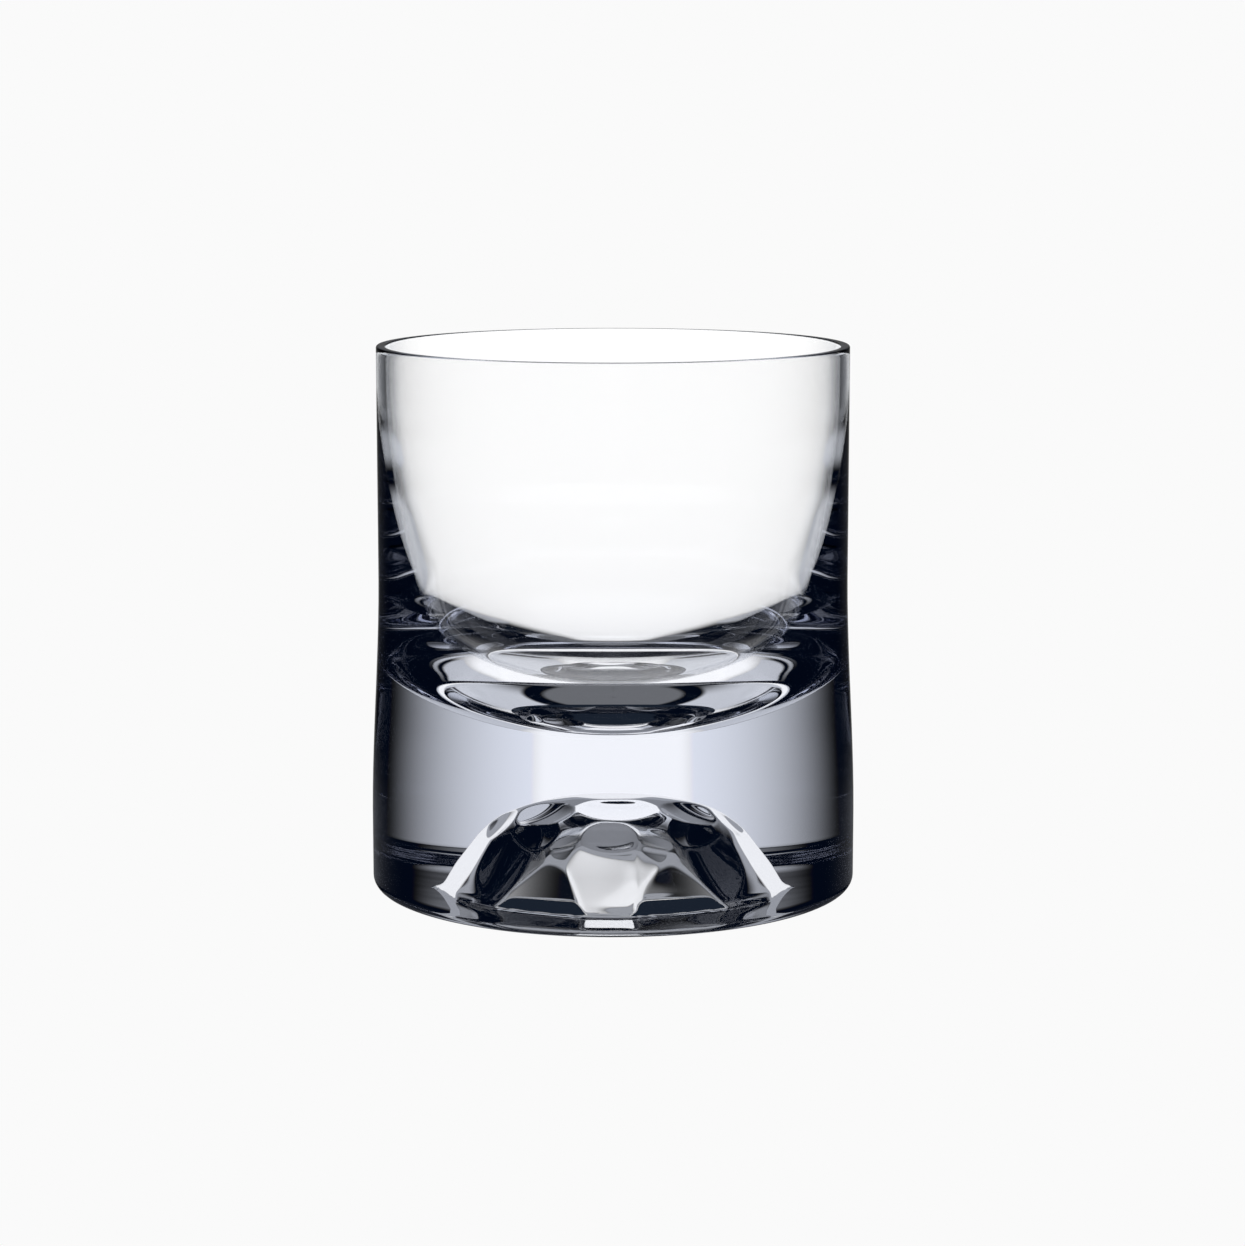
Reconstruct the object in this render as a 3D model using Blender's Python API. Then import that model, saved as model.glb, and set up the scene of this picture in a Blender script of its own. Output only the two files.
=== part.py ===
"""Whiskey tumbler: one piece of clear pressed glass with a faceted dome in its underside.

The body is a turned section, spun about +Z. The dome's surface is then cut by round wheels,
most of them so large that they leave flat facets with crisp ridges between them.
Metres, +Z up. The origin is the middle of the foot, on the plane the tumbler stands on.
"""

import math

import bmesh
import bpy
from mathutils import Vector

# Driving dimensions, in metres.
HEIGHT = 0.0975
RIM_RADIUS = 0.0420          # outside, and constant down to the start of the flare
FOOT_RADIUS = 0.0435         # outside, where the flare ends
FLARE_TOP = 0.0567           # the straight wall ends here
FLARE_BOTTOM = 0.0126        # and the widest part starts here
FOOT_FILLET = 0.0021
RIM_EDGE = 0.00034           # rounding of the rim's two edges
RIM_THICKNESS = 0.00166
FLOOR_HEIGHT = 0.0287        # glass under the middle of the bowl
FLOOR_SPHERE = 0.0517        # radius of the bowl's round floor
FLOOR_EDGE = 0.0210          # where the round floor turns up into the corner
CORNER_TOP = 0.0512          # where the corner meets the wall
WALL_TOP = 0.0903            # the inside of the wall is upright above this
WALL_BOW = 2.86              # and bows in below it by this times the drop squared
DOME_HEIGHT = 0.0183
DOME_FOOT_RADIUS = 0.0223    # where the dome meets the flat foot

# Dome section from its flat top to its foot, as fractions of foot radius and dome height.
DOME_SECTION = (
    (0.00, 1.000),
    (0.16, 0.995),
    (0.32, 0.959),
    (0.47, 0.894),
    (0.61, 0.752),
    (0.72, 0.573),
    (0.79, 0.390),
    (0.84, 0.252),
    (0.88, 0.126),
    (0.92, 0.037),
    (1.00, 0.000),
)

# Cuts that facet the dome, in rows from its top down. Each has its place along the section, the
# lean added to the dome's own tilt in degrees, its depth, the radius of its wheel, and the
# directions that it faces in degrees from the front, -Y, towards +X.
FLAT = 1.2
CUT_ROWS = (
    {"place": 0.0, "lean": 0, "depth": 0.00017, "wheel": FLAT, "facing": (0,)},
    {"place": 0.0097, "lean": -7, "depth": 0.00067, "wheel": 0.042, "facing": (4,)},
    {"place": 0.0105, "lean": 5, "depth": 0.00109, "wheel": 0.0168, "facing": (64, 124, 184, 244, 304)},
    {
        "place": 0.0164,
        "lean": -3,
        "depth": 0.00076,
        "wheel": 0.0189,
        "facing": (-2, 49, 94, 139, 184, 229, 274, 312),
    },
    {
        "place": 0.0218,
        "lean": 0,
        "depth": 0.00067,
        "wheel": FLAT,
        "facing": (-4, -92, 92, 125, 161, 197, 233),
    },
    {"place": 0.0210, "lean": 0, "depth": 0.00076, "wheel": 0.105, "facing": (-57, 52)},
    {"place": 0.0244, "lean": 9, "depth": 0.00059, "wheel": FLAT, "facing": (-31, 29)},
    {"place": 0.0218, "lean": 1, "depth": 0.00025, "wheel": FLAT, "facing": (-43, 39)},
)

# Fineness of the mesh.
TURN_STEPS = 80
DOME_STEPS = 28
FOOT_STEPS = 2
FILLET_STEPS = 3
FLARE_STEPS = 6
RIM_STEPS = 2
FLOOR_STEPS = 6
CORNER_STEPS = 6
WALL_STEPS = 7

GLASS_COLOUR = (0.93, 0.95, 0.98, 1.0)
GLASS_ROUGHNESS = 0.02
GLASS_IOR = 1.52


def ease(t):
    """Rises from 0 to 1 with no slope at either end."""
    t = min(max(t, 0.0), 1.0)
    return t * t * (3.0 - 2.0 * t)


def outer_radius(height):
    """Outside radius of the wall, flared towards the foot."""
    flare = ease((FLARE_TOP - height) / (FLARE_TOP - FLARE_BOTTOM))
    return RIM_RADIUS + (FOOT_RADIUS - RIM_RADIUS) * flare


def arc(centre, radius, start_degrees, end_degrees, steps):
    """Points along a circular arc, both ends included."""
    points = []
    for step in range(steps + 1):
        angle = math.radians(start_degrees + (end_degrees - start_degrees) * step / steps)
        points.append((centre[0] + radius * math.cos(angle), centre[1] + radius * math.sin(angle)))
    return points


def smooth_curve(points, steps):
    """Evenly spaced points on a Catmull-Rom curve through the given points."""
    last = len(points) - 1
    curve = []
    for step in range(steps + 1):
        place = last * step / steps
        index = min(int(place), last - 1)
        t = place - index
        p0, p1, p2, p3 = (Vector(points[min(max(index + k, 0), last)]) for k in (-1, 0, 1, 2))
        point = 0.5 * (
            2.0 * p1
            + (p2 - p0) * t
            + (2.0 * p0 - 5.0 * p1 + 4.0 * p2 - p3) * t * t
            + (3.0 * p1 - p0 - 3.0 * p2 + p3) * t * t * t
        )
        curve.append((point.x, point.y))
    return curve


def dome_section():
    """Section of the dome from the axis out to the foot."""
    points = [(r * DOME_FOOT_RADIUS, z * DOME_HEIGHT) for r, z in DOME_SECTION]
    return smooth_curve(points, DOME_STEPS)


def floor_height(radius):
    """Height of the bowl's round floor at a radius."""
    return FLOOR_HEIGHT + FLOOR_SPHERE - math.sqrt(FLOOR_SPHERE**2 - radius**2)


def wall_radius(height):
    """Inside radius of the wall at a height."""
    return RIM_RADIUS - RIM_THICKNESS - WALL_BOW * max(WALL_TOP - height, 0.0) ** 2


def corner_section():
    """Quadratic curve that leaves the floor and meets the wall along their own tangents."""
    start = Vector((FLOOR_EDGE, floor_height(FLOOR_EDGE)))
    end = Vector((wall_radius(CORNER_TOP), CORNER_TOP))
    floor_run = math.sqrt(FLOOR_SPHERE**2 - FLOOR_EDGE**2) / FLOOR_EDGE
    wall_run = 2.0 * WALL_BOW * (WALL_TOP - CORNER_TOP)
    rise = (end.x - start.x - wall_run * (end.y - start.y)) / (floor_run - wall_run)
    bend = start + Vector((rise * floor_run, rise))
    curve = []
    for step in range(1, CORNER_STEPS):
        t = step / CORNER_STEPS
        point = start * (1.0 - t) ** 2 + bend * 2.0 * t * (1.0 - t) + end * t * t
        curve.append((point.x, point.y))
    return curve


def bowl_section():
    """Section of the bowl from below the rim down to the axis."""
    floor = []
    for step in range(FLOOR_STEPS + 1):
        radius = FLOOR_EDGE * step / FLOOR_STEPS
        floor.append((radius, floor_height(radius)))
    wall = []
    for step in range(WALL_STEPS):
        height = CORNER_TOP + (HEIGHT - RIM_EDGE - CORNER_TOP) * step / WALL_STEPS
        wall.append((wall_radius(height), height))
    return (floor + corner_section() + wall)[::-1]


def whole_section():
    """Closed section: dome, foot, fillet, wall, rim, bowl."""
    dome = dome_section()
    fillet_radius = outer_radius(FOOT_FILLET) - FOOT_FILLET
    foot = []
    for step in range(1, FOOT_STEPS):
        share = step / FOOT_STEPS
        foot.append((DOME_FOOT_RADIUS + (fillet_radius - DOME_FOOT_RADIUS) * share, 0.0))
    fillet = arc((fillet_radius, FOOT_FILLET), FOOT_FILLET, -90.0, 0.0, FILLET_STEPS)
    wall = []
    for step in range(1, FLARE_STEPS + 1):
        height = FOOT_FILLET + (FLARE_TOP - FOOT_FILLET) * step / FLARE_STEPS
        wall.append((outer_radius(height), height))
    inner_rim = RIM_RADIUS - RIM_THICKNESS
    rim_centre = HEIGHT - RIM_EDGE
    rim = arc((RIM_RADIUS - RIM_EDGE, rim_centre), RIM_EDGE, 0.0, 90.0, RIM_STEPS)
    rim += arc((inner_rim + RIM_EDGE, rim_centre), RIM_EDGE, 90.0, 180.0, RIM_STEPS)
    return dome, foot + fillet + wall + rim + bowl_section()


def trace_dome(section):
    """For each point of the dome's section: its distance along, and its normal into the glass."""
    along = 0.0
    traced = []
    for index, point in enumerate(section):
        before = Vector(section[max(index - 1, 0)])
        after = Vector(section[min(index + 1, len(section) - 1)])
        if index > 0:
            along += (Vector(point) - before).length
        tangent = (after - before).normalized()
        traced.append((along, Vector((-tangent.y, tangent.x))))
    return traced


def spin(point, turn):
    """A point or direction of the section, turned from the front by an angle."""
    return Vector((point.x * math.sin(turn), -point.x * math.cos(turn), point.y))


def cutting_wheels(section, traced):
    """Each cut as the centre and the radius of its wheel, which stands on the glass side."""
    wheels = []
    for row in CUT_ROWS:
        nearest = min(range(len(section)), key=lambda index: abs(traced[index][0] - row["place"]))
        normal = traced[nearest][1]
        tilt = math.atan2(normal.x, normal.y) + math.radians(row["lean"])
        leaning = Vector((math.sin(tilt), math.cos(tilt)))
        deepest = Vector(section[nearest]) - normal * row["depth"]
        centre = deepest + leaning * row["wheel"]
        for direction in row["facing"]:
            wheels.append((spin(centre, math.radians(direction)), row["wheel"]))
    return wheels


def cut_depth(point, normal, wheels):
    """How far a point goes in along its normal to lie outside every wheel."""
    deepest = 0.0
    for centre, radius in wheels:
        away = point - centre
        inside = radius**2 - away.length_squared
        if inside > 0.0:
            level = away.dot(normal)
            deepest = max(deepest, level + math.sqrt(level**2 + inside))
    return deepest


def build_glass():
    """Revolves the section, with its dome faceted down to the foot plane, as one closed mesh."""
    dome, rest = whole_section()
    traced = trace_dome(dome)
    wheels = cutting_wheels(dome, traced)
    mesh = bmesh.new()
    rings = []
    for index, section_point in enumerate(dome + rest):
        flat_point = Vector(section_point)
        if flat_point.x < 1e-9:
            point = Vector((0.0, 0.0, flat_point.y))
            if index == 0:
                up = Vector((0.0, 0.0, 1.0))
                point -= up * cut_depth(point, up, wheels)
            rings.append([mesh.verts.new(point)])
            continue
        ring = []
        for step in range(TURN_STEPS):
            turn = 2.0 * math.pi * step / TURN_STEPS
            point = spin(flat_point, turn)
            if index < len(dome):
                normal = spin(traced[index][1], turn)
                point -= normal * cut_depth(point, normal, wheels)
                point.z = max(point.z, 0.0)
            ring.append(mesh.verts.new(point))
        rings.append(ring)
    for lower, upper in zip(rings, rings[1:]):
        join_rings(mesh, lower, upper)
    bmesh.ops.recalc_face_normals(mesh, faces=mesh.faces)
    return mesh


def join_rings(mesh, first, second):
    """Faces between two neighbouring rings, either of which may be a single point."""
    for step in range(TURN_STEPS):
        following = (step + 1) % TURN_STEPS
        if len(first) == 1:
            mesh.faces.new((first[0], second[step], second[following]))
        elif len(second) == 1:
            mesh.faces.new((first[following], first[step], second[0]))
        else:
            mesh.faces.new((first[following], first[step], second[step], second[following]))


def glass_material():
    """Clear glass."""
    material = bpy.data.materials.new("clear_glass")
    material.use_nodes = True
    shader = material.node_tree.nodes["Principled BSDF"]
    shader.inputs["Base Color"].default_value = GLASS_COLOUR
    shader.inputs["Roughness"].default_value = GLASS_ROUGHNESS
    shader.inputs["Metallic"].default_value = 0.0
    shader.inputs["IOR"].default_value = GLASS_IOR
    shader.inputs["Transmission Weight"].default_value = 1.0
    return material


def main():
    for old in list(bpy.data.objects):
        bpy.data.objects.remove(old)
    glass = build_glass()
    data = bpy.data.meshes.new("glass_body")
    glass.to_mesh(data)
    glass.free()
    data.shade_smooth()
    data.set_sharp_from_angle(angle=math.radians(40.0))
    data.materials.append(glass_material())
    body = bpy.data.objects.new("glass_body", data)
    bpy.context.scene.collection.objects.link(body)


main()
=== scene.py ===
"""Looks of a whiskey tumbler: one piece of clear pressed crystal with a thin straight wall, a round bowl,
a heavy base, and a faceted dome pressed up into the underside. Metres, +Z up, the front faces -Y."""

import math

import bpy
import numpy as np
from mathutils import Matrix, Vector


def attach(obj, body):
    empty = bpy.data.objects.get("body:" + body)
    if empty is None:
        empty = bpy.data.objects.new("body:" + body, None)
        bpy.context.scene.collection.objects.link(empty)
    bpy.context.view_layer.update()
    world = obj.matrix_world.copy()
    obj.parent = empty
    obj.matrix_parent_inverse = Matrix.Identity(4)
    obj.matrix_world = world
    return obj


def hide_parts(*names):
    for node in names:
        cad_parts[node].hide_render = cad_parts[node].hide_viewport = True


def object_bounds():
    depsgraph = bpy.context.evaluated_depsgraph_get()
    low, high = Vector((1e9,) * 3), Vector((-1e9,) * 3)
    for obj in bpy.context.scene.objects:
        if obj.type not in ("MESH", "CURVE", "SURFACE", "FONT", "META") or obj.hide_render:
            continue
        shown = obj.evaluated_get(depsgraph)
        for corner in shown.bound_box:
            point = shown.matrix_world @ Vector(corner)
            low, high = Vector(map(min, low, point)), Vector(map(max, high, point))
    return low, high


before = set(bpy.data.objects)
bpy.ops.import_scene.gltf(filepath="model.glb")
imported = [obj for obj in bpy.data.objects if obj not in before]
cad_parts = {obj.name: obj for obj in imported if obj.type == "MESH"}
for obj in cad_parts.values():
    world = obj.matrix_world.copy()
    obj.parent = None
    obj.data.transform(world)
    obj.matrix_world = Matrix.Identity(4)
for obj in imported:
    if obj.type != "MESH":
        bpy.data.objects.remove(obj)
CAD_LOW, CAD_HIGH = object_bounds()

# ---- Sizes, from the CAD box. UNIT is the outer radius at the rim, and the outlines below count in it.
FOOT_TO_RIM = 1.0357
UNIT = (CAD_HIGH.x - CAD_LOW.x) / 2 / FOOT_TO_RIM
HEIGHT = (CAD_HIGH.z - CAD_LOW.z) / UNIT

# ---- Outside wall
FLARE_TOP = 1.35
FLARE_BOTTOM = 0.30
FOOT_FILLET = 0.05

# ---- Rim
RIM_INSIDE = 0.9605
RIM_EDGE = 0.008

# ---- Bowl: a shallow spherical floor, a round corner, and a wall that bows in towards the corner
FLOOR_HEIGHT = 0.684
FLOOR_SPHERE = 1.23
FLOOR_EDGE = 0.50
CORNER_TOP = 1.22
WALL_TOP = 2.15
WALL_BOW = 0.12

# ---- Dome in the underside: the outline's radii and heights before the cuts
DOME = (
    (0, 0.436), (0.084, 0.434), (0.168, 0.418), (0.25, 0.390), (0.325, 0.328), (0.382, 0.250),
    (0.421, 0.170), (0.447, 0.110), (0.467, 0.055), (0.490, 0.016), (0.53, 0),
)
FLAT = 30
# The cuts that facet the dome, in rows from its top down: distance along the outline, tilt added to the
# dome's own there in degrees, depth, radius of the cutting wheel (FLAT for a flat facet), and the directions
# that the cuts face in degrees from the front
CUT_ROWS = (
    (0, 0, 0.004, FLAT, (0,)),
    (0.23, -7, 0.016, 1.0, (4,)),
    (0.25, 5, 0.026, 0.40, (64, 124, 184, 244, 304)),
    (0.39, -3, 0.018, 0.45, (-2, 49, 94, 139, 184, 229, 274, 312)),
    (0.52, 0, 0.016, FLAT, (-4, -92, 92, 125, 161, 197, 233)),
    (0.50, 0, 0.018, 2.5, (-57, 52)),
    (0.58, 9, 0.014, FLAT, (-31, 29)),
    (0.52, 1, 0.006, FLAT, (-43, 39)),
)
RIDGE_SOFTNESS = 0.0015

# ---- Mesh
TURN_STEPS = 384
DOME_RINGS = 110
FLOOR_RINGS = 24
CORNER_RINGS = 26
BOWL_WALL_RINGS = 42
WALL_RINGS = 26
FOOT_RINGS = 14
FILLET_STEPS = 8
LIP_STEPS = 4
# How far the foot's and the wall's first and last rings stay from the curves that they lie between
FOOT_ENDS = (0.01, 0.005)
WALL_ENDS = (0.02, 0.012)

# ---- Crystal
GLASS_IOR = 1.52
TINT_START = 0.55
EDGE_ON_TINT = (0.88, 0.93, 1.0)
DRAW_STRETCH = 0.35
WAVE_SCALE = 90
WAVE_HEIGHT = 0.000012
HAZE_SCALE = 240
HAZE_FROM = 0.55
HAZE_FULL = 0.80
HAZE_ROUGHNESS = 0.03
DEPTH_COLOUR = (0.25, 0.33, 0.60)
DEPTH_DENSITY = 3.0
LIGHT_BOUNCES = 32

# ---- Camera
CAMERA_DISTANCE = 14.137
CAMERA_HEIGHT = 3.373
CAMERA_PITCH = math.radians(9.02)
CAMERA_YAW = math.radians(0.163)
LENS = 96.58
SENSOR = 36

# ---- Studio
PAPER = 0.956
REFLECTED_SHARE = 0.12
EDGE_SOFTNESS = 1.5
FILL = (0.001, 0.003, 0.009)
FLOOR_RADIUS = 60
SHEET_SIDES = 96
SHEET_GAP = 0.0002
SHADOW_COLOUR = (0.012, 0.018, 0.030)
# The soft sheets of light: lowest and highest elevation, direction from straight behind the glass, half
# width and how softly the sides fade, all in degrees, and brightness
BACK_SHEET = (-72, -2.5, 0, 15, 5, 1.17)
TABLE_STRIP = (-15.5, -10.8, 0, 32, 32, 1.1)
SIDE_SHEET = (-9, 1, 0, 26, 16, 0.35)
UPPER_SHEET = (-6, 14, 0, 14, 10, 1.08)
HIGH_SHEET = (14, 28, 0, 38, 8, 0.42)
TOP_SHEET = (28, 60, 0, 16, 12, 0.3)
TABLE = (-58, -20, 0, 75, 25, 0.7)
FRONT_SHEET = (-66, -42, 180, 55, 15, 0.8)
UNDER_SHEET = (-90, -66, 0, 180, 1, 0.18)
PLAIN_SHEETS = (BACK_SHEET, UPPER_SHEET)
COOL_SHEETS = (TABLE_STRIP, SIDE_SHEET, HIGH_SHEET, TOP_SHEET, TABLE, FRONT_SHEET, UNDER_SHEET)
COOL_TINT = (0.93, 0.96, 1.03)


# ---------------------------------------------------------------- outlines


def ease(t):
    """0 to 1 with level ends."""
    t = min(max(t, 0), 1)
    return t * t * (3 - 2 * t)


def outer_radius(z):
    """The wall is straight above the flare and a little wider at the foot."""
    return 1 + (FOOT_TO_RIM - 1) * ease((FLARE_TOP - z) / (FLARE_TOP - FLARE_BOTTOM))


def arc(centre_r, centre_z, radius, start, end, steps):
    """Points on a circular arc, angles in degrees from +R towards +Z."""
    angles = np.radians(np.linspace(start, end, steps + 1))
    return [(centre_r + radius * math.cos(a), centre_z + radius * math.sin(a)) for a in angles]


def spline(points, count):
    """A natural cubic spline through the points, as count points at equal steps of chord length."""
    p = np.array(points, float)
    m = len(p)
    knot = np.r_[0, np.cumsum(np.linalg.norm(np.diff(p, axis=0), axis=1))]
    h = np.diff(knot)
    system = np.zeros((m, m))
    right = np.zeros((m, 2))
    system[0, 0] = system[-1, -1] = 1
    for i in range(1, m - 1):
        system[i, i - 1 : i + 2] = h[i - 1], 2 * (h[i - 1] + h[i]), h[i]
        right[i] = 3 * ((p[i + 1] - p[i]) / h[i] - (p[i] - p[i - 1]) / h[i - 1])
    c = np.linalg.solve(system, right)
    t = np.linspace(0, knot[-1], count)
    i = np.clip(np.searchsorted(knot, t) - 1, 0, m - 2)
    d = (t - knot[i])[:, None]
    hi = h[i][:, None]
    slope = (p[i + 1] - p[i]) / hi - hi * (2 * c[i] + c[i + 1]) / 3
    return [tuple(q) for q in p[i] + slope * d + c[i] * d**2 + (c[i + 1] - c[i]) / (3 * hi) * d**3]


def bowl_wall(z):
    """Inside radius of the wall: a parabola up to WALL_TOP, straight above it."""
    return RIM_INSIDE - WALL_BOW * max(WALL_TOP - z, 0) ** 2


def bowl_floor(r):
    """Height of the spherical floor."""
    return FLOOR_HEIGHT + FLOOR_SPHERE - math.sqrt(FLOOR_SPHERE**2 - r**2)


def bowl_corner(steps):
    """A quadratic curve that leaves the floor and meets the wall along their own tangents."""
    start = np.array([FLOOR_EDGE, bowl_floor(FLOOR_EDGE)])
    end = np.array([bowl_wall(CORNER_TOP), CORNER_TOP])
    floor_slope = FLOOR_EDGE / math.sqrt(FLOOR_SPHERE**2 - FLOOR_EDGE**2)
    wall_slope = 2 * WALL_BOW * (WALL_TOP - CORNER_TOP)
    rise = (end[0] - start[0] - wall_slope * (end[1] - start[1])) / (1 / floor_slope - wall_slope)
    bend = start + np.array([rise / floor_slope, rise])
    t = np.linspace(0, 1, steps)[:, None]
    return [tuple(q) for q in start * (1 - t) ** 2 + bend * 2 * t * (1 - t) + end * t**2]


def bowl_section():
    """The bowl from the middle of its floor up to the rim."""
    floor = [(r, bowl_floor(r)) for r in np.linspace(0, FLOOR_EDGE, FLOOR_RINGS)]
    top = HEIGHT - RIM_EDGE
    wall = [(bowl_wall(z), z) for z in np.linspace(CORNER_TOP, top, BOWL_WALL_RINGS)]
    return floor + bowl_corner(CORNER_RINGS)[1:-1] + wall[:-1]


def outline():
    """The whole turned section from the dome's top, out over the foot, up the wall and down to the bowl's
    floor, and how many of its points belong to the dome."""
    dome = spline(DOME, DOME_RINGS)
    foot_start = DOME[-1][0] + FOOT_ENDS[0]
    foot_end = FOOT_TO_RIM - FOOT_FILLET - FOOT_ENDS[1]
    foot = [(r, 0) for r in np.linspace(foot_start, foot_end, FOOT_RINGS)]
    fillet = arc(outer_radius(FOOT_FILLET) - FOOT_FILLET, FOOT_FILLET, FOOT_FILLET, -90, 0, FILLET_STEPS)
    heights = np.linspace(FOOT_FILLET + WALL_ENDS[0], HEIGHT - WALL_ENDS[1], WALL_RINGS)
    wall = [(outer_radius(z), z) for z in heights]
    lip = arc(1 - RIM_EDGE, HEIGHT - RIM_EDGE, RIM_EDGE, 0, 90, LIP_STEPS)
    lip += arc(RIM_INSIDE + RIM_EDGE, HEIGHT - RIM_EDGE, RIM_EDGE, 90, 180, LIP_STEPS)
    bowl = bowl_section()[::-1]
    return dome + foot + fillet + wall + lip + bowl, len(dome)


# ---------------------------------------------------------------- mesh


def facing(azimuth, tilt):
    """The unit vector that leans out from straight up by tilt, towards azimuth from the front."""
    lean = math.sin(tilt)
    return np.array([math.sin(azimuth) * lean, -math.cos(azimuth) * lean, math.cos(tilt)])


def cutting_wheels(dome, along, tangent):
    """Each cut as the centre and the radius of its wheel, which stands on the glass side of the dome."""
    tilt = np.arctan2(-tangent[:, 1], tangent[:, 0])
    wheels = []
    for place, lean, depth, radius, directions in CUT_ROWS:
        r = np.interp(place, along, dome[:, 0])
        z = np.interp(place, along, dome[:, 1])
        own_tilt = np.interp(place, along, tilt)
        for direction in directions:
            azimuth = math.radians(direction)
            on_dome = np.array([math.sin(azimuth) * r, -math.cos(azimuth) * r, z])
            deepest = on_dome - depth * facing(azimuth, own_tilt)
            wheels.append((deepest + radius * facing(azimuth, own_tilt + math.radians(lean)), radius))
    return wheels


def cut_depth(points, normals, wheels):
    """How far each point of the dome goes in along its own normal to lie outside every wheel."""
    depths = [np.zeros(len(points))]
    for centre, radius in wheels:
        away = points - centre
        inside = radius**2 - (away**2).sum(axis=1)
        level = (away * normals).sum(axis=1)
        pushed = level + np.sqrt(level**2 + np.maximum(inside, 0))
        depths.append(np.where(inside > 0, pushed, inside / (2 * radius)))
    return np.logaddexp.reduce(np.array(depths) / RIDGE_SOFTNESS, axis=0) * RIDGE_SOFTNESS


def ring_points(section, dome_count):
    """One ring of points for each point of the section. The wheels cut the dome's rings, never below Z 0."""
    around = np.linspace(0, 2 * math.pi, TURN_STEPS, endpoint=False)
    aside, ahead, level = np.sin(around), -np.cos(around), np.ones(TURN_STEPS)
    section = np.array(section)
    dome = section[:dome_count]
    along = np.r_[0, np.cumsum(np.linalg.norm(np.diff(dome, axis=0), axis=1))]
    tangent = np.gradient(dome, axis=0)
    tangent /= np.linalg.norm(tangent, axis=1)[:, None]
    wheels = cutting_wheels(dome, along, tangent)
    rings = []
    for i, (r, z) in enumerate(section):
        points = np.stack([r * aside, r * ahead, z * level], axis=1)
        if i < dome_count:
            out, up = -tangent[i, 1], tangent[i, 0]
            normals = np.stack([out * aside, out * ahead, up * level], axis=1)
            points -= cut_depth(points, normals, wheels)[:, None] * normals
            points[:, 2] = np.maximum(points[:, 2], 0)
        rings.append(points * UNIT)
    return rings


def build_glass():
    """The glass body as one closed mesh, turned round Z."""
    section, dome_count = outline()
    rings = ring_points(section, dome_count)
    top = rings[0].mean(axis=0)
    floor = rings[-1].mean(axis=0)
    middle = rings[1:-1]
    points = np.concatenate([[top], *middle, [floor]])
    steps = range(TURN_STEPS)
    last = len(points) - 1
    first_of_last = last - TURN_STEPS
    faces = [(0, 1 + (k + 1) % TURN_STEPS, 1 + k) for k in steps]
    for ring in range(len(middle) - 1):
        a = 1 + ring * TURN_STEPS
        b = a + TURN_STEPS
        faces += [(a + k, a + (k + 1) % TURN_STEPS, b + (k + 1) % TURN_STEPS, b + k) for k in steps]
    faces += [(first_of_last + k, first_of_last + (k + 1) % TURN_STEPS, last) for k in steps]
    mesh = bpy.data.meshes.new("tumbler_glass")
    mesh.from_pydata([tuple(p) for p in points], [], faces)
    mesh.validate()
    mesh.shade_smooth()
    glass = bpy.data.objects.new("tumbler_glass", mesh)
    bpy.context.scene.collection.objects.link(glass)
    return glass


# ---------------------------------------------------------------- material


def crystal_material():
    """Clear crystal: cooler where it is seen edge-on, with the faint waviness and haze of pressed glass, and
    a grey-blue depth in the thick base."""
    material = bpy.data.materials.new("clear_glass")
    material.use_nodes = True
    nodes = material.node_tree.nodes
    links = material.node_tree.links
    shader = nodes["Principled BSDF"]
    shader.inputs["IOR"].default_value = GLASS_IOR
    shader.inputs["Transmission Weight"].default_value = 1
    edge_on = nodes.new("ShaderNodeLayerWeight")
    edge_on.inputs["Blend"].default_value = 0.5
    tint = nodes.new("ShaderNodeValToRGB")
    tint.color_ramp.elements[0].position = TINT_START
    tint.color_ramp.elements[0].color = (1, 1, 1, 1)
    tint.color_ramp.elements[1].color = (*EDGE_ON_TINT, 1)
    links.new(edge_on.outputs["Facing"], tint.inputs["Fac"])
    links.new(tint.outputs["Color"], shader.inputs["Base Color"])
    place = nodes.new("ShaderNodeTexCoord")
    draw = nodes.new("ShaderNodeMapping")
    draw.inputs["Scale"].default_value = (1, 1, DRAW_STRETCH)
    links.new(place.outputs["Object"], draw.inputs["Vector"])
    waves = nodes.new("ShaderNodeTexNoise")
    waves.inputs["Scale"].default_value = WAVE_SCALE
    waves.inputs["Detail"].default_value = 1
    links.new(draw.outputs["Vector"], waves.inputs["Vector"])
    bump = nodes.new("ShaderNodeBump")
    bump.inputs["Strength"].default_value = 1
    bump.inputs["Distance"].default_value = WAVE_HEIGHT
    links.new(waves.outputs["Fac"], bump.inputs["Height"])
    links.new(bump.outputs["Normal"], shader.inputs["Normal"])
    haze = nodes.new("ShaderNodeTexNoise")
    haze.inputs["Scale"].default_value = HAZE_SCALE
    links.new(place.outputs["Object"], haze.inputs["Vector"])
    rough = nodes.new("ShaderNodeMapRange")
    rough.inputs["From Min"].default_value = HAZE_FROM
    rough.inputs["From Max"].default_value = HAZE_FULL
    rough.inputs["To Max"].default_value = HAZE_ROUGHNESS
    links.new(haze.outputs["Fac"], rough.inputs["Value"])
    links.new(rough.outputs["Result"], shader.inputs["Roughness"])
    absorb = nodes.new("ShaderNodeVolumeAbsorption")
    absorb.inputs["Color"].default_value = (*DEPTH_COLOUR, 1)
    absorb.inputs["Density"].default_value = DEPTH_DENSITY
    links.new(absorb.outputs["Volume"], nodes["Material Output"].inputs["Volume"])
    return material


# ---------------------------------------------------------------- studio


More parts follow.
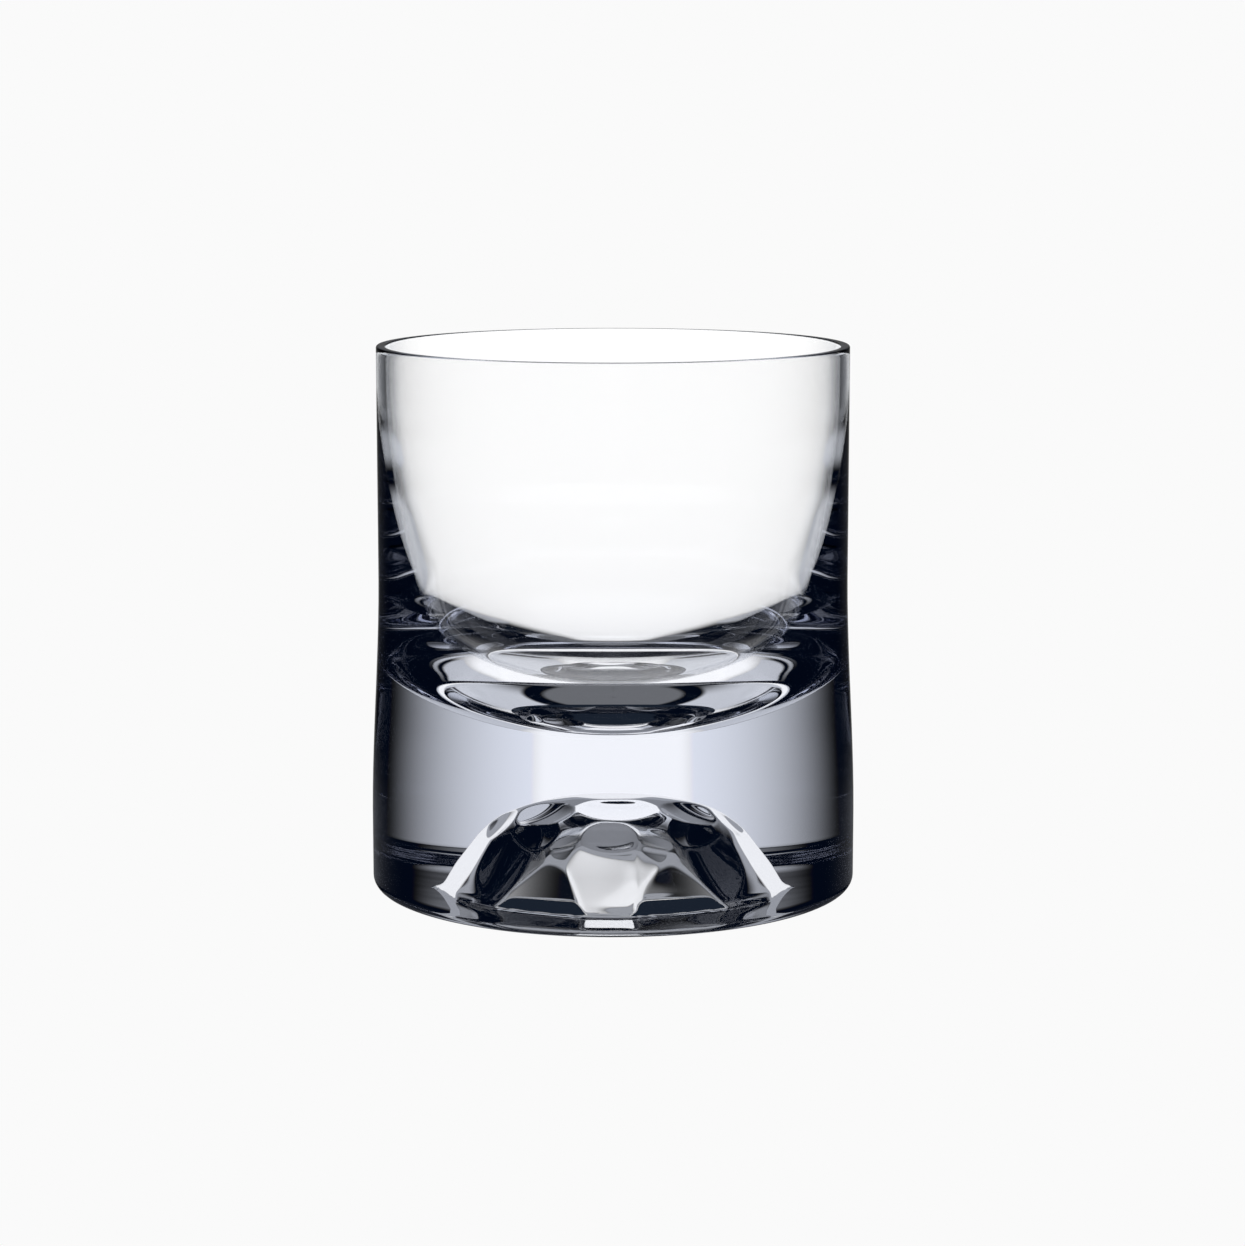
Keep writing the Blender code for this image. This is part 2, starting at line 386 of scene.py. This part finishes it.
class WorldNodes:
    """Short calls for the node types that the studio light is made of."""

    def __init__(self, tree):
        self.tree = tree

    def put(self, socket, value):
        if isinstance(value, (int, float)):
            socket.default_value = value
        else:
            self.tree.links.new(value, socket)

    def math(self, operation, *values):
        node = self.tree.nodes.new("ShaderNodeMath")
        node.operation = operation
        for socket, value in zip(node.inputs, values):
            self.put(socket, value)
        return node.outputs[0]

    def step(self, value, edge, softness):
        """0 below the edge, 1 above it, with a smooth change between."""
        node = self.tree.nodes.new("ShaderNodeMapRange")
        node.interpolation_type = "SMOOTHSTEP"
        self.put(node.inputs["Value"], value)
        node.inputs["From Min"].default_value = edge - softness
        node.inputs["From Max"].default_value = edge + softness
        return node.outputs["Result"]

    def mix(self, share, first, second):
        node = self.tree.nodes.new("ShaderNodeMix")
        node.data_type = "FLOAT"
        self.put(node.inputs[0], share)
        self.put(node.inputs[2], first)
        self.put(node.inputs[3], second)
        return node.outputs[0]


def sheet_light(kit, sheets, elevation, away):
    """The brightest of some soft sheets in each direction."""
    total = 0.0
    for low, high, direction, half_width, fade, brightness in sheets:
        above_low = kit.step(elevation, low, EDGE_SOFTNESS)
        band = kit.math("SUBTRACT", above_low, kit.step(elevation, high, EDGE_SOFTNESS))
        aside = kit.math("ABSOLUTE", kit.math("SUBTRACT", away, direction))
        sheet = kit.math("MULTIPLY", band, kit.math("SUBTRACT", 1, kit.step(aside, half_width, fade)))
        total = kit.math("MAXIMUM", total, kit.math("MULTIPLY", sheet, brightness))
    return total


def studio_light():
    """Soft light that stays behind the glass as the camera goes round it: a bright sheet straight behind,
    dark flags at both sides."""
    world = bpy.data.worlds.new("studio")
    bpy.context.scene.world = world
    world.use_nodes = True
    tree = world.node_tree
    tree.nodes.clear()
    kit = WorldNodes(tree)
    places = tree.nodes.new("ShaderNodeTexCoord")
    seen = tree.nodes.new("ShaderNodeSeparateXYZ")
    tree.links.new(places.outputs["Camera"], seen.inputs[0])
    real = tree.nodes.new("ShaderNodeSeparateXYZ")
    tree.links.new(places.outputs["Generated"], real.inputs[0])
    side = seen.outputs["X"]
    up = real.outputs["Z"]
    across = kit.math("ADD", kit.math("MULTIPLY", side, side), kit.math("MULTIPLY", up, up))
    depth = kit.math("SQRT", kit.math("MAXIMUM", kit.math("SUBTRACT", 1, across), 0))
    ahead = kit.math("MULTIPLY", depth, kit.math("SIGN", seen.outputs["Z"]))
    away = kit.math("DEGREES", kit.math("ARCTAN2", kit.math("ABSOLUTE", side), ahead))
    elevation = kit.math("DEGREES", kit.math("ARCSINE", up))
    plain = sheet_light(kit, PLAIN_SHEETS, elevation, away)
    cool = sheet_light(kit, COOL_SHEETS, elevation, away)
    path = tree.nodes.new("ShaderNodeLightPath")
    kept = kit.mix(path.outputs["Is Reflection Ray"], 1, REFLECTED_SHARE)
    colour = tree.nodes.new("ShaderNodeCombineXYZ")
    for channel, tint, fill in zip(colour.inputs, COOL_TINT, FILL):
        lit = kit.math("MAXIMUM", plain, kit.math("MULTIPLY", cool, tint))
        total = kit.math("MULTIPLY", kit.math("MAXIMUM", lit, fill), kept)
        kit.put(channel, kit.mix(path.outputs["Is Camera Ray"], total, PAPER))
    background = tree.nodes.new("ShaderNodeBackground")
    tree.links.new(colour.outputs[0], background.inputs["Color"])
    output = tree.nodes.new("ShaderNodeOutputWorld")
    tree.links.new(background.outputs[0], output.inputs[0])


def level_sheet(name, radius, colour):
    """A flat round sheet just under the foot that shows one even colour and casts no shadow."""
    around = np.linspace(0, 2 * math.pi, SHEET_SIDES, endpoint=False)
    mesh = bpy.data.meshes.new(name)
    corners = [(radius * math.cos(a), radius * math.sin(a), 0) for a in around]
    mesh.from_pydata(corners, [], [tuple(range(SHEET_SIDES))])
    sheet = bpy.data.objects.new(name, mesh)
    sheet.location.z = CAD_LOW.z - SHEET_GAP
    bpy.context.scene.collection.objects.link(sheet)
    material = bpy.data.materials.new(name)
    material.use_nodes = True
    nodes = material.node_tree.nodes
    nodes.clear()
    glow = nodes.new("ShaderNodeEmission")
    glow.inputs["Color"].default_value = (*colour, 1)
    output = nodes.new("ShaderNodeOutputMaterial")
    material.node_tree.links.new(glow.outputs[0], output.inputs["Surface"])
    mesh.materials.append(material)
    sheet.visible_diffuse = False
    sheet.visible_glossy = False
    sheet.visible_shadow = False
    return sheet


def studio_floor():
    """A plain pale floor that only the camera sees, so that the glass gets its light from the studio."""
    floor = level_sheet("floor", FLOOR_RADIUS * UNIT, (PAPER, PAPER, PAPER))
    floor.visible_transmission = False


def dome_shadow():
    """The floor in the dome's mouth, in the glass's own shadow. Only light paths in the glass meet it."""
    shadow = level_sheet("dome_shadow", DOME[-1][0] * UNIT, SHADOW_COLOUR)
    shadow.visible_camera = False


def studio_camera():
    """A long lens a little above the rim, looking down."""
    camera = bpy.data.objects.new("camera", bpy.data.cameras.new("camera"))
    camera.data.sensor_width = SENSOR
    camera.data.lens = LENS
    camera.location = (0, -CAMERA_DISTANCE * UNIT, CAMERA_HEIGHT * UNIT)
    camera.rotation_euler = (math.pi / 2 - CAMERA_PITCH, 0, -CAMERA_YAW)
    bpy.context.scene.collection.objects.link(camera)
    bpy.context.scene.camera = camera


def glass_light_paths():
    """Enough bounces for light that crosses many glass surfaces, and colours shown as they are."""
    scene = bpy.context.scene
    scene.view_settings.view_transform = "Standard"
    scene.cycles.max_bounces = LIGHT_BOUNCES
    scene.cycles.transmission_bounces = LIGHT_BOUNCES
    scene.cycles.glossy_bounces = LIGHT_BOUNCES


glass = build_glass()
glass.data.materials.append(crystal_material())
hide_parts("glass_body")
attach(glass, "root")
studio_light()
studio_floor()
dome_shadow()
studio_camera()
glass_light_paths()
